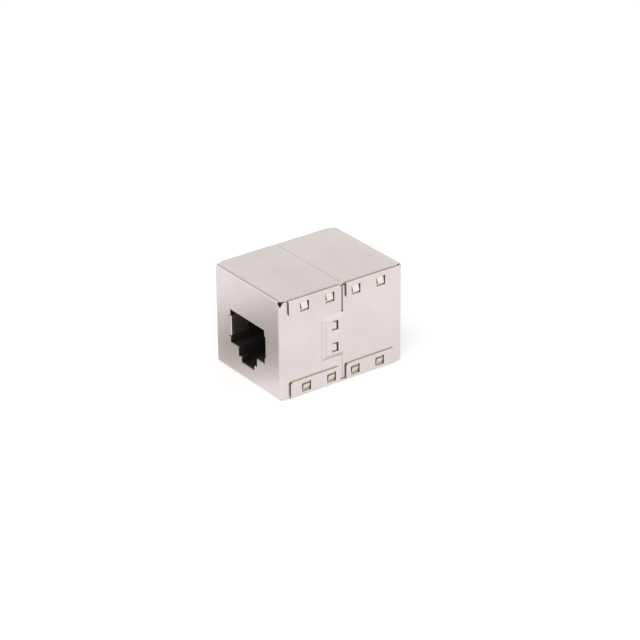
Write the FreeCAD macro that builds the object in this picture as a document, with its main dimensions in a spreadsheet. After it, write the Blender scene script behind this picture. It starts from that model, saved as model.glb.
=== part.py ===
"""Shielded in-line coupler for two 8-position modular plugs.

The row frame is in millimetres: X runs along the coupler, from port A at -X to port B at +X,
Y runs across it and Z is up. The origin is the middle of the face that it rests on.

Each half is one folded shell of plated sheet with a moulded jack housing, a ground spring behind
the port, and a contact carrier with eight hairpin contacts. Half B is half A turned 180 degrees
about Z. An upright circuit board in the middle joins the sixteen contacts.
"""

import FreeCAD, Part
import os
import Sketcher

Vector = FreeCAD.Vector

# Driving dimensions, in millimetres and degrees
SIZES = [
    ("cheek", 5.5, "from the port's side edge to the outer face of the side panel"),
    ("head_room", 8.25, "from the port's top edge to the top face"),
    ("sheet", 0.3, "thickness of the shell's sheet"),
    ("side_bend_radius", 0.8, "outside radius of the upright bends"),
    ("plate_bend_radius", 0.5, "outside radius of the bends to the plates and flaps"),
    ("seam_gap", 0.06, "gap between the two shells"),
    ("seam_relief", 0.18, "set back of a side panel's edge over the joint pad"),
    ("rim_notch_length", 0.65, "notch in a side panel's corners at the seam, along the coupler"),
    ("rim_notch_height", 0.35, "notch in a side panel's corners at the seam, upright"),
    ("fold_clearance", 0.05, "gap between folded layers of the sheet"),
    ("corner_cut", 1.2, "length of the slanting cut at a plate's outer corner"),
    ("bend_notch_width", 1.1, "notch in the upper end of an upright bend"),
    ("bend_notch_depth", 1.1, "depth of the notch below the plate"),
    ("top_flap_height", 3.6, "from the top face to the rim of a top flap"),
    ("top_flap_end_setback", 2.0, "from the end plate to a top flap"),
    ("top_flap_seam_setback", 0.85, "from the middle of the coupler to a top flap"),
    ("bottom_flap_height", 3.65, "from the bottom face to the rim of a bottom flap"),
    ("bottom_flap_end_setback", 2.2, "from the end plate to a bottom flap"),
    ("bottom_flap_seam_setback", 0.75, "from the middle of the coupler to a bottom flap"),
    ("flap_corner_radius", 0.6, "rounding of a flap's free corners"),
    ("window_width", 2.2, "latch window along the coupler"),
    ("window_height", 2.1, "latch window, upright"),
    ("top_window_distance", 3.25, "from the middle of the coupler to the first top window's centre"),
    ("bottom_window_distance", 3.0, "from the middle of the coupler to the first bottom window's centre"),
    ("window_pitch", 6.25, "between the two windows of a flap"),
    ("top_window_drop", 1.15, "from the top face to the top of a window"),
    ("bottom_window_lift", 0.75, "from the bottom face to the foot of a window"),
    ("lance_margin", 0.25, "from a window's edge to the lanced opening behind it"),
    ("lance_slit", 0.08, "slit along the sides of a lanced tab"),
    ("lance_gap", 0.3, "opening beyond the free end of a lanced tab"),
    ("lance_rise", 0.45, "how far a tab's free end stands out"),
    ("joint_height", 10.85, "middle of the joint pad and tongue above the bottom face"),
    ("joint_pad_length", 5.1, "raised pad, from the middle of the coupler"),
    ("joint_pad_height", 9.65, "raised pad, upright, at its foot"),
    ("joint_pad_border", 0.75, "width of the pad's sloping border"),
    ("joint_pad_rise", 0.4, "how far the pad stands out"),
    ("joint_window_width", 1.6, "window in the pad along the coupler"),
    ("joint_window_height", 2.1, "window in the pad, upright"),
    ("joint_window_distance", 2.05, "from the middle of the coupler to the pad's windows"),
    ("joint_window_pitch", 4.9, "between the pad's two windows"),
    ("tongue_reach", 3.7, "from the middle of the coupler to the tongue's tip"),
    ("tongue_height", 7.6, "joint tongue, upright"),
    ("tongue_corner", 0.8, "bevel of the tongue's leading corners"),
    ("port_width", 12.1, "port in the end plate"),
    ("port_floor", 6.15, "height of the port's main floor"),
    ("port_height", 7.7, "port's main opening, upright"),
    ("latch_step_width", 6.5, "upper step of the latch notch"),
    ("latch_step_depth", 1.9, "upper step below the main floor"),
    ("latch_slot_width", 4.5, "lower step of the latch notch"),
    ("latch_slot_depth", 1.15, "lower step below the upper step"),
    ("housing_inset", 0.1, "moulded opening inside the port's edge, each side"),
    ("fit_gap", 0.05, "assembly gap between neighbouring pieces"),
    ("plug_depth", 12.4, "from the end plate to the stop behind the plug"),
    ("cavity_back_wall", 1.2, "thickness of the wall that stops the plug"),
    ("housing_front_wall", 1.4, "thickness of the housing's front wall"),
    ("housing_wall", 0.9, "thickness of the housing's other walls"),
    ("ceiling", 1.0, "thickness of the slotted ceiling over the plug"),
    ("latch_room", 7.0, "length of the room for the latch behind the front wall"),
    ("core_rib", 0.9, "thickness of a rib between cored pockets"),
    ("finger_height", 4.4, "width of a ground finger, upright"),
    ("finger_reach", 4.2, "from the end plate to the tip of a ground finger"),
    ("finger_lean", 0.45, "how far a finger's tip leans into the plug's way"),
    ("finger_relief", 0.25, "slit above and below a finger's bend"),
    ("finger_room", 0.5, "space behind a finger for it to give way"),
    ("board_thickness", 1.0, "circuit board"),
    ("board_margin", 1.0, "from the board's edge to the shell's inside"),
    ("board_ledge", 0.9, "width of the ledge that the board rests on"),
    ("peg_diameter", 1.6, "locating peg through the board"),
    ("peg_margin", 2.5, "from the board's edges to the peg's centre"),
    ("peg_web", 2.6, "thickness of the web that carries the peg"),
    ("board_hole", 0.62, "diameter of a plated hole"),
    ("contact_pitch", 1.02, "between neighbouring contacts"),
    ("contact_width", 0.35, "contact wire across"),
    ("contact_thickness", 0.3, "contact wire, flatwise"),
    ("contact_slot", 0.55, "slot in the ceiling over a contact"),
    ("contact_level", 1.65, "lower row of tails above the ceiling's underside"),
    ("contact_row_rise", 2.5, "upper row of tails above the lower row"),
    ("contact_bend", 0.85, "radius of the hairpin at the wire's middle"),
    ("contact_jog_bend", 0.5, "radius of the jog to the upper row"),
    ("contact_slope", 20.0, "slope of the contact's free leg"),
    ("contact_leg", 7.0, "length of the contact's free leg"),
    ("contact_front", 1.15, "from the housing's front wall to the hairpin's centre"),
    ("contact_tail", 0.8, "tail beyond the circuit board"),
    ("tail_room", 0.4, "space beyond the tails of the other half"),
    ("carrier_half_width", 5.3, "contact carrier, to each side of the port's centre"),
    ("carrier_floor_gap", 0.1, "carrier above the ceiling"),
    ("carrier_deck", 1.5, "height of the carrier's front deck"),
    ("carrier_block", 4.1, "height of the carrier's rear block"),
    ("carrier_block_length", 3.0, "rear block along the coupler"),
    ("channel_clearance", 0.02, "round a wire in its channel"),
]

# Places that several pieces share, as expressions over the sheet
BOARD_FACE = "(-dims.board_thickness / 2)"
TAIL_ROOM = "(-dims.board_thickness / 2 - dims.contact_tail - dims.tail_room)"
CAVITY_BACK = f"({TAIL_ROOM} - dims.cavity_back_wall)"
END = f"({CAVITY_BACK} - dims.plug_depth)"
SEAM = "(-dims.seam_gap / 2)"
SIDE = "(dims.port_width / 2 + dims.cheek)"
INSIDE = f"({SIDE} - dims.sheet)"
TOP = "(dims.port_floor + dims.port_height + dims.head_room)"
RIM = "(dims.sheet + dims.fold_clearance)"
JOINT = "dims.joint_height"
FLAP_OUT = f"({SIDE} + dims.fold_clearance + dims.sheet)"
PLATE_HALF = f"({FLAP_OUT} - dims.plate_bend_radius)"
PORT_TOP = "(dims.port_floor + dims.port_height)"
STEP_FLOOR = "(dims.port_floor - dims.latch_step_depth)"
SLOT_FLOOR = "(dims.port_floor - dims.latch_step_depth - dims.latch_slot_depth)"
HOUSING_FRONT = f"({END} + dims.sheet + dims.fit_gap)"
HOUSING_REAR = "(-dims.fit_gap)"
HOUSING_SIDE = f"({INSIDE} - dims.fit_gap)"
HOUSING_FOOT = "(dims.sheet + dims.fit_gap)"
HOUSING_TOP = f"({TOP} - dims.sheet - dims.fit_gap)"
CAVITY_HALF = "(dims.port_width / 2 - dims.housing_inset)"
CAVITY_FLOOR = "(dims.port_floor + dims.housing_inset)"
CAVITY_MIDDLE = "(dims.port_floor + dims.port_height / 2)"
FRONT_WALL = f"({HOUSING_FRONT} + dims.housing_front_wall)"
CEILING = f"({PORT_TOP} - dims.housing_inset)"
CEILING_TOP = f"({CEILING} + dims.ceiling)"
LOWER_ROW = f"({CEILING} + dims.contact_level)"
UPPER_ROW = f"({LOWER_ROW} + dims.contact_row_rise)"
HAIRPIN_X = f"({FRONT_WALL} + dims.contact_front)"
CARRIER_FLOOR = f"({CEILING_TOP} + dims.carrier_floor_gap)"
CARRIER_REAR = f"({TAIL_ROOM} - dims.fit_gap)"
CARRIER_FRONT = f"({HAIRPIN_X} + dims.contact_bend)"
CARRIER_TOP = f"({CARRIER_FLOOR} + dims.carrier_block)"
JOG_X = f"({CARRIER_REAR} - dims.carrier_block_length / 2)"
BAY_TOP = f"({CARRIER_TOP} + dims.fit_gap)"
BAY_HALF = "(dims.carrier_half_width + dims.fit_gap)"
PEG_SIDE = f"({INSIDE} - dims.board_margin - dims.peg_margin)"
PEG_HEIGHT = "(dims.sheet + dims.board_margin + dims.peg_margin)"

CONTACTS = 8

# Turns about Z, in degrees: the cross plane set square to a front corner, and each half of the coupler
CORNER_TURN = 135
HALVES = {"a": 0, "b": 180}


def make_sheet(doc):
    """The spreadsheet with one aliased cell for each driving dimension."""
    sheet = doc.addObject("Spreadsheet::Sheet", "dims")
    for row, (alias, value, meaning) in enumerate(SIZES, 1):
        sheet.set(f"A{row}", alias)
        sheet.set(f"B{row}", str(value))
        sheet.set(f"C{row}", meaning)
        sheet.setAlias(f"B{row}", alias)
    doc.recompute()
    return sheet


def half_name(name, half):
    """The name of a piece of one half."""
    return f"{name}_{half}"


def make_body(doc, name, turn=0):
    """A body named as its node, turned about Z for the half that it belongs to."""
    body = doc.addObject("PartDesign::Body", name)
    body.Label = name
    body.Placement = FreeCAD.Placement(Vector(0, 0, 0), FreeCAD.Rotation(Vector(0, 0, 1), turn))
    return body


def plane(body, role):
    """One of the body's own origin planes or axes."""
    return next(f for f in body.Origin.OriginFeatures if f.Role == role)


def sketch_on(body, name, role, offset=None):
    """A sketch on an origin plane of the body, set off along the plane's normal."""
    sketch = body.newObject("Sketcher::SketchObject", name)
    sketch.AttachmentSupport = (plane(body, role), [""])
    sketch.MapMode = "FlatFace"
    if offset:
        sketch.setExpression("AttachmentOffset.Base.z", offset)
    return sketch


def number(sketch, expression):
    """The present value of an expression."""
    value = sketch.evalExpression(expression)
    return float(getattr(value, "Value", value))


def bind(sketch, constraint, expression):
    """Adds a dimension and ties it to its expression."""
    index = sketch.addConstraint(constraint)
    label = f"d{index}"
    sketch.renameConstraint(index, label)
    sketch.setExpression(f"Constraints.{label}", expression)


def pin_point(sketch, geometry, end, across, up):
    """Ties an end of a line or arc to a place given by two expressions."""
    bind(sketch, Sketcher.Constraint("DistanceX", -1, 1, geometry, end, number(sketch, across)), across)
    bind(sketch, Sketcher.Constraint("DistanceY", -1, 1, geometry, end, number(sketch, up)), up)


def add_side(sketch, start, end, radius=0.0):
    """Adds a line or an arc and gives its index and which of its ends is its start and its end.

    A positive radius turns anticlockwise and a negative one clockwise."""
    if not radius:
        return sketch.addGeometry(Part.LineSegment(start, end), False), 1, 2
    first, last = (start, end) if radius > 0 else (end, start)
    chord = last - first
    left = Vector(-chord.y, chord.x, 0).normalize()
    centre = (first + last) * 0.5 + left * max(radius**2 - chord.Length**2 / 4, 0) ** 0.5
    circle = Part.Circle(centre, Vector(0, 0, 1), abs(radius))
    arc = Part.ArcOfCircle(circle, circle.parameter(first), circle.parameter(last))
    index = sketch.addGeometry(arc, False)
    return (index, 1, 2) if radius > 0 else (index, 2, 1)


def add_path(sketch, corners, closed):
    """Adds lines and arcs through corners that are all tied to the sheet.

    A corner is (across, up), or (across, up, radius, turn) where the side that leaves it is an
    arc of that radius, with turn 1 for anticlockwise and -1 for clockwise."""
    places = [Vector(number(sketch, c[0]), number(sketch, c[1]), 0) for c in corners]
    count = len(corners) if closed else len(corners) - 1
    sides = []
    for i in range(count):
        corner = corners[i]
        radius = number(sketch, corner[2]) * corner[3] if len(corner) > 2 else 0.0
        sides.append(add_side(sketch, places[i], places[(i + 1) % len(places)], radius))
        if radius:
            bind(sketch, Sketcher.Constraint("Radius", sides[-1][0], abs(radius)), corner[2])
    for i in range(count if closed else count - 1):
        this, following = sides[i], sides[(i + 1) % count]
        ends = (this[0], this[2], following[0], following[1])
        sketch.addConstraint(Sketcher.Constraint("Coincident", *ends))
    for side, corner in zip(sides, corners):
        pin_point(sketch, side[0], side[1], corner[0], corner[1])
    if not closed:
        pin_point(sketch, sides[-1][0], sides[-1][2], corners[-1][0], corners[-1][1])


def add_rectangle(sketch, left, right, low, high):
    """A rectangle between four expressions."""
    add_path(sketch, [(left, low), (right, low), (right, high), (left, high)], True)


def add_channel(sketch, low, high, web, rim, radius, sideways=False, web_below=False):
    """The section of a bent-sheet channel: a web and two flanges of one thickness, with bends.

    low and high are the outer faces of the flanges, web the outer face of the web and rim the
    end of the flanges. sideways lays the flanges along the sketch's first axis."""
    inward = "+" if web_below else "-"
    bend = f"{web} {inward} {radius}"
    face = f"{web} {inward} dims.sheet"
    inner = f"({radius} - dims.sheet)"
    turn = -1 if web_below != sideways else 1
    section = [
        (low, rim),
        (f"{low} + dims.sheet", rim),
        (f"{low} + dims.sheet", bend, inner, -turn),
        (f"{low} + {radius}", face),
        (f"{high} - {radius}", face, inner, -turn),
        (f"{high} - dims.sheet", bend),
        (f"{high} - dims.sheet", rim),
        (high, rim),
        (high, bend, radius, turn),
        (f"{high} - {radius}", web),
        (f"{low} + {radius}", web, radius, turn),
        (low, bend),
    ]
    if sideways:
        section = [(c[1], c[0], *c[2:]) for c in section]
    add_path(sketch, section, True)


def pad(body, name, sketch, length, symmetric=False):
    """Adds a sketch's area, as thick as the expression."""
    feature = body.newObject("PartDesign::Pad", name)
    feature.Profile = sketch
    feature.setExpression("Length", length)
    feature.SideType = "Symmetric" if symmetric else "One side"
    return feature


def pocket(body, name, sketch, length=None, symmetric=False, forwards=False):
    """Cuts a sketch's area, right through or as deep as the expression."""
    feature = body.newObject("PartDesign::Pocket", name)
    feature.Profile = sketch
    if length:
        feature.setExpression("Length", length)
    else:
        feature.Type = "ThroughAll"
    feature.SideType = "Symmetric" if symmetric else "One side"
    feature.Reversed = forwards
    return feature


def repeat(body, name, original, axis, length, count):
    """A row of copies of a feature along an axis of the body."""
    pattern = body.newObject("PartDesign::LinearPattern", name)
    pattern.Originals = [original]
    pattern.Direction = (plane(body, axis), [""])
    pattern.setExpression("Length", length)
    pattern.Occurrences = count
    body.Tip = pattern
    return pattern


def break_edges(body, kind, name, base, size, chosen):
    """Rounds or chamfers the edges of a feature that the test chooses."""
    body.Document.recompute()
    names = [f"Edge{i}" for i, edge in enumerate(base.Shape.Edges, 1) if chosen(edge)]
    feature = body.newObject(f"PartDesign::{kind}", name)
    feature.Base = (base, names)
    feature.setExpression({"Fillet": "Radius", "Chamfer": "Size"}[kind], size)
    return feature


def runs_along(edge, axis):
    """Whether an edge is a straight line along an axis."""
    return (
        len(edge.Vertexes) == 2
        and edge.Curve.TypeId == "Part::GeomLine"
        and abs(abs(edge.tangentAt(edge.FirstParameter).dot(axis)) - 1) < 1e-6
    )


def window_rows():
    """For the top and the bottom flaps: the first window's place along the coupler and its foot."""
    top = f"({TOP} - dims.top_window_drop - dims.window_height)"
    return {
        "top": ("(-dims.top_window_distance)", top),
        "bottom": ("(-dims.bottom_window_distance)", "dims.bottom_window_lift"),
    }


def window_boxes(margin):
    """The sides of every latch window of a half, each drawn in by a margin."""
    boxes = []
    half = f"(dims.window_width / 2 - {margin})"
    for first, foot in window_rows().values():
        low, high = f"{foot} + {margin}", f"{foot} + dims.window_height - {margin}"
        for centre in (first, f"({first} - dims.window_pitch)"):
            boxes.append((f"{centre} - {half}", f"{centre} + {half}", low, high))
    return boxes


def build_shell(doc, half, turn):
    """The folded shell: end plate, side panels, plates with latched flaps, joint pad and tongue."""
    body = make_body(doc, half_name("shell", half), turn)

    # Top and bottom plates with the flaps that lap over the side panels
    low, high = f"-{FLAP_OUT}", FLAP_OUT
    bend = "dims.plate_bend_radius"
    start = f"{END} + dims.top_flap_end_setback"
    sketch = sketch_on(body, "top_flap_section", "YZ_Plane", start)
    add_channel(sketch, low, high, TOP, f"{TOP} - dims.top_flap_height", bend)
    length = f"-{END} - dims.top_flap_end_setback - dims.top_flap_seam_setback"
    pad(body, "top_flaps", sketch, length)
    start = f"{END} + dims.bottom_flap_end_setback"
    sketch = sketch_on(body, "bottom_flap_section", "YZ_Plane", start)
    add_channel(sketch, low, high, "0", "dims.bottom_flap_height", bend, web_below=True)
    length = f"-{END} - dims.bottom_flap_end_setback - dims.bottom_flap_seam_setback"
    pad(body, "bottom_flaps", sketch, length)

    # The end plate with its bends to the top and bottom plates, clear of the upright bends
    sketch = sketch_on(body, "end_plate_section", "XZ_Plane")
    add_channel(sketch, "0", TOP, END, SEAM, bend, sideways=True, web_below=True)
    corner = f"({SIDE} - dims.side_bend_radius)"
    plates = pad(body, "end_plate", sketch, f"2 * {corner}", symmetric=True)

    # The plates reach out over the rims of the side panels, with their outer corners cut off
    front = f"{END} + {bend}"
    for name, level in (("top", f"{TOP} - dims.sheet"), ("bottom", "0")):
        sketch = sketch_on(body, f"{name}_plate_outline", "XY_Plane", level)
        cut = f"{front} + dims.corner_cut"
        near_side = [(front, f"-{corner}"), (cut, f"-{PLATE_HALF}"), (SEAM, f"-{PLATE_HALF}")]
        far_side = [(SEAM, PLATE_HALF), (cut, PLATE_HALF), (front, corner)]
        add_path(sketch, near_side + far_side, True)
        plates = pad(body, f"{name}_plate", sketch, "dims.sheet")

    # Free corners of the flaps, then the latch windows, before the side panels stand behind them
    def free_corner(edge):
        place = edge.CenterOfMass
        on_flap = abs(place.y) > number(plates, SIDE)
        top_rim = number(plates, f"{TOP} - dims.top_flap_height")
        bottom_rim = number(plates, "dims.bottom_flap_height")
        from_rim = min(abs(place.z - top_rim), abs(place.z - bottom_rim))
        return on_flap and runs_along(edge, Vector(0, 1, 0)) and from_rim < 1e-4

    break_edges(body, "Fillet", "flap_corners", plates, "dims.flap_corner_radius", free_corner)
    sketch = sketch_on(body, "flap_windows", "XZ_Plane")
    for box in window_boxes("0"):
        add_rectangle(sketch, *box)
    pocket(body, "flap_window_cut", sketch, symmetric=True)

    # Side panels wrapped round from the end plate
    sketch = sketch_on(body, "wrap_section", "XY_Plane", RIM)
    wrap = "dims.side_bend_radius"
    add_channel(sketch, f"-{SIDE}", SIDE, END, SEAM, wrap, sideways=True, web_below=True)
    pad(body, "side_panels", sketch, f"{TOP} - 2 * {RIM}")
    add_bend_notches(body)
    add_seam_relief(body)
    add_latches(body)
    add_port(body)
    add_joint_pad(body)
    add_joint_tongue(body)
    return body


def add_bend_notches(body):
    """V notches at the upper ends of the two upright bends, cut from inside out across each corner."""
    half = "dims.bend_notch_width / 2"
    mouth = f"{TOP} - dims.sheet"
    notch = [(f"-{half}", mouth), (half, mouth), ("0", f"{mouth} - dims.bend_notch_depth")]
    for name, sign, angle in (("near", "-", -CORNER_TURN), ("far", "", CORNER_TURN)):
        sketch = sketch_on(body, f"{name}_bend_notches", "YZ_Plane")
        across_corner = FreeCAD.Rotation(Vector(0, 1, 0), angle)
        sketch.AttachmentOffset = FreeCAD.Placement(Vector(0, 0, 0), across_corner)
        sketch.setExpression("AttachmentOffset.Base.x", f"{sign}({SIDE} - dims.side_bend_radius)")
        sketch.setExpression("AttachmentOffset.Base.z", f"{END} + dims.side_bend_radius")
        body.Document.recompute()
        add_path(sketch, notch, True)
        pocket(body, f"{name}_bend_notch_cut", sketch, forwards=True)


def add_seam_relief(body):
    """The wider seam over the joint pad and the notches in the side panels' corners."""
    top_rim = f"{TOP} - {RIM}"
    notch_foot = f"{top_rim} - dims.rim_notch_height"
    low = f"{JOINT} + dims.joint_pad_height / 2"
    sketch = sketch_on(body, "seam_relief_outline", "XZ_Plane")
    add_rectangle(sketch, f"{SEAM} - dims.seam_relief", "0", low, notch_foot)
    pocket(body, "seam_relief_cut", sketch, symmetric=True)
    sketch = sketch_on(body, "rim_notch_outline", "XZ_Plane")
    add_rectangle(sketch, "-dims.rim_notch_length", "0", RIM, f"{RIM} + dims.rim_notch_height")
    add_rectangle(sketch, "-dims.rim_notch_length", "0", notch_foot, top_rim)
    pocket(body, "rim_notch_cut", sketch, symmetric=True)


def add_latches(body):
    """Tabs lanced out of the side panels, which snap into the windows of the flaps."""
    sketch = sketch_on(body, "lance_openings", "XZ_Plane")
    for box in window_boxes("dims.lance_margin"):
        add_rectangle(sketch, *box)
    pocket(body, "lance_cut", sketch, symmetric=True)

    tab_width = "(dims.window_width - 2 * dims.lance_margin - 2 * dims.lance_slit)"
    for name, (first, foot) in window_rows().items():
        root = f"{foot} + dims.lance_margin"
        free = f"{foot} + dims.window_height - dims.lance_margin - dims.lance_gap"
        if name == "top":
            root = f"{foot} + dims.window_height - dims.lance_margin"
            free = f"{foot} + dims.lance_margin + dims.lance_gap"
        start = f"{first} - dims.window_pitch - {tab_width} / 2"
        sketch = sketch_on(body, f"{name}_tab_sections", "YZ_Plane", start)
        for sign in ("-", ""):
            face, back = f"{sign}{SIDE}", f"{sign}{INSIDE}"
            out = f"{sign}({SIDE} + dims.lance_rise)"
            out_back = f"{sign}({INSIDE} + dims.lance_rise)"
            add_path(sketch, [(face, root), (out, free), (out_back, free), (back, root)], True)
        tabs = pad(body, f"{name}_tabs", sketch, tab_width)
        repeat(body, f"{name}_tab_row", tabs, "X_Axis", "dims.window_pitch", 2)


def port_outline(sketch, inset):
    """The stepped outline of the port, inset all round by an expression."""
    widths = ("dims.latch_slot_width", "dims.latch_step_width", "dims.port_width")
    levels = [f"{low} + {inset}" for low in (SLOT_FLOOR, STEP_FLOOR, "dims.port_floor")]
    levels.append(f"{PORT_TOP} - {inset}")
    points = []
    for width, low, high in zip(widths, levels, levels[1:]):
        half = f"({width} / 2 - {inset})"
        points += [(half, low), (half, high)]
    add_path(sketch, points + [(f"-{across}", up) for across, up in reversed(points)], True)


def add_port(body):
    """The stepped port through the end plate, with a ground finger bent in from each side of it."""
    sketch = sketch_on(body, "port_outline", "YZ_Plane")
    port_outline(sketch, "0")
    pocket(body, "port_cut", sketch)
    low, high = finger_band()
    sketch = sketch_on(body, "finger_reliefs", "YZ_Plane")
    reach = "(dims.port_width / 2 + dims.plate_bend_radius)"
    relief = "dims.finger_relief"
    add_rectangle(sketch, f"-{reach}", reach, f"{low} - {relief}", f"{high} + {relief}")
    pocket(body, "finger_relief_cut", sketch)
    sketch = sketch_on(body, "finger_sections", "XY_Plane", low)
    inner = "(dims.plate_bend_radius - dims.sheet)"
    tip = f"{END} + dims.finger_reach"
    for sign, turn in (("", -1), ("-", 1)):
        face = f"{sign}dims.port_width / 2"
        back = f"{sign}(dims.port_width / 2 + dims.sheet)"
        root = f"{sign}(dims.port_width / 2 + dims.plate_bend_radius)"
        add_path(
            sketch,
            [
                (END, root, "dims.plate_bend_radius", -turn),
                (f"{END} + dims.plate_bend_radius", face),
                (tip, f"{sign}(dims.port_width / 2 - dims.finger_lean)"),
                (tip, f"{sign}(dims.port_width / 2 + dims.sheet - dims.finger_lean)"),
                (f"{END} + dims.plate_bend_radius", back, inner, turn),
                (f"{END} + dims.sheet", root),
            ],
            True,
        )
    pad(body, "fingers", sketch, "dims.finger_height")


def finger_band():
    """Foot and head of the ground fingers."""
    return f"({CAVITY_MIDDLE} - dims.finger_height / 2)", f"({CAVITY_MIDDLE} + dims.finger_height / 2)"


def add_joint_pad(body):
    """The raised pad on one side, open at the seam, that takes the other shell's tongue."""
    low, high = f"{JOINT} - dims.joint_pad_height / 2", f"{JOINT} + dims.joint_pad_height / 2"
    border = "dims.joint_pad_border"
    foot = ("-dims.joint_pad_length", low, high)
    crest = (f"-dims.joint_pad_length + {border}", f"{low} + {border}", f"{high} - {border}")
    levels = (("foot", "0", foot), ("crest", "dims.joint_pad_rise", crest))
    for name, kind, depth, open_end in (
        ("outside", "PartDesign::AdditiveLoft", "0", SEAM),
        ("inside", "PartDesign::SubtractiveLoft", "dims.sheet", f"{SEAM} + dims.seam_gap"),
    ):
        sections = []
        for level, rise, (left, low, high) in levels:
            sketch = sketch_on(body, f"pad_{name}_{level}", "XZ_Plane", f"{SIDE} + {rise} - {depth}")
            add_rectangle(sketch, left, open_end, low, high)
            sections.append(sketch)
        loft = body.newObject(kind, f"pad_{name}")
        loft.Profile = sections[0]
        loft.Sections = [sections[1]]
        loft.Ruled = True
        body.Document.recompute()
    sketch = sketch_on(body, "pad_windows", "XZ_Plane")
    for way in ("-", "+"):
        centre = f"({JOINT} {way} dims.joint_window_pitch / 2)"
        add_rectangle(
            sketch,
            "-dims.joint_window_distance - dims.joint_window_width / 2",
            "-dims.joint_window_distance + dims.joint_window_width / 2",
            f"{centre} - dims.joint_window_height / 2",
            f"{centre} + dims.joint_window_height / 2",
        )
    pocket(body, "pad_window_cut", sketch, forwards=True)


def add_joint_tongue(body):
    """The tongue on the other side, with two lanced tabs that catch in the other shell's pad."""
    half = "dims.tongue_height / 2"
    sketch = sketch_on(body, "tongue_outline", "XZ_Plane", f"-{SIDE}")
    add_path(
        sketch,
        [
            (f"{SEAM} - dims.tongue_corner", f"{JOINT} - {half}"),
            ("dims.tongue_reach - dims.tongue_corner", f"{JOINT} - {half}"),
            ("dims.tongue_reach", f"{JOINT} - {half} + dims.tongue_corner"),
            ("dims.tongue_reach", f"{JOINT} + {half} - dims.tongue_corner"),
            ("dims.tongue_reach - dims.tongue_corner", f"{JOINT} + {half}"),
            (f"{SEAM} - dims.tongue_corner", f"{JOINT} + {half}"),
        ],
        True,
    )
    pad(body, "tongue", sketch, "dims.sheet")
    left = "(dims.joint_window_distance - dims.joint_window_width / 2 + dims.lance_margin)"
    right = "(dims.joint_window_distance + dims.joint_window_width / 2 - dims.lance_margin)"
    opening = "(dims.joint_window_height - 2 * dims.lance_margin)"
    sketch = sketch_on(body, "tongue_lances", "XZ_Plane", f"-{SIDE}")
    for way in ("-", "+"):
        centre = f"({JOINT} {way} dims.joint_window_pitch / 2)"
        add_rectangle(sketch, left, right, f"{centre} - {opening} / 2", f"{centre} + {opening} / 2")
    pocket(body, "tongue_lance_cut", sketch, "dims.sheet", forwards=True)
    tab = f"({opening} - 2 * dims.lance_slit)"
    start = f"{JOINT} - dims.joint_window_pitch / 2 - {tab} / 2"
    sketch = sketch_on(body, "tongue_tab_section", "XY_Plane", start)
    free = f"{left} + dims.lance_gap"
    out, out_back = f"{SIDE} + dims.lance_rise", f"{INSIDE} + dims.lance_rise"
    add_path(sketch, [(right, SIDE), (free, out), (free, out_back), (right, INSIDE)], True)
    tabs = pad(body, "tongue_tab", sketch, tab)
    repeat(body, "tongue_tabs", tabs, "Z_Axis", "dims.joint_window_pitch", 2)


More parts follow.
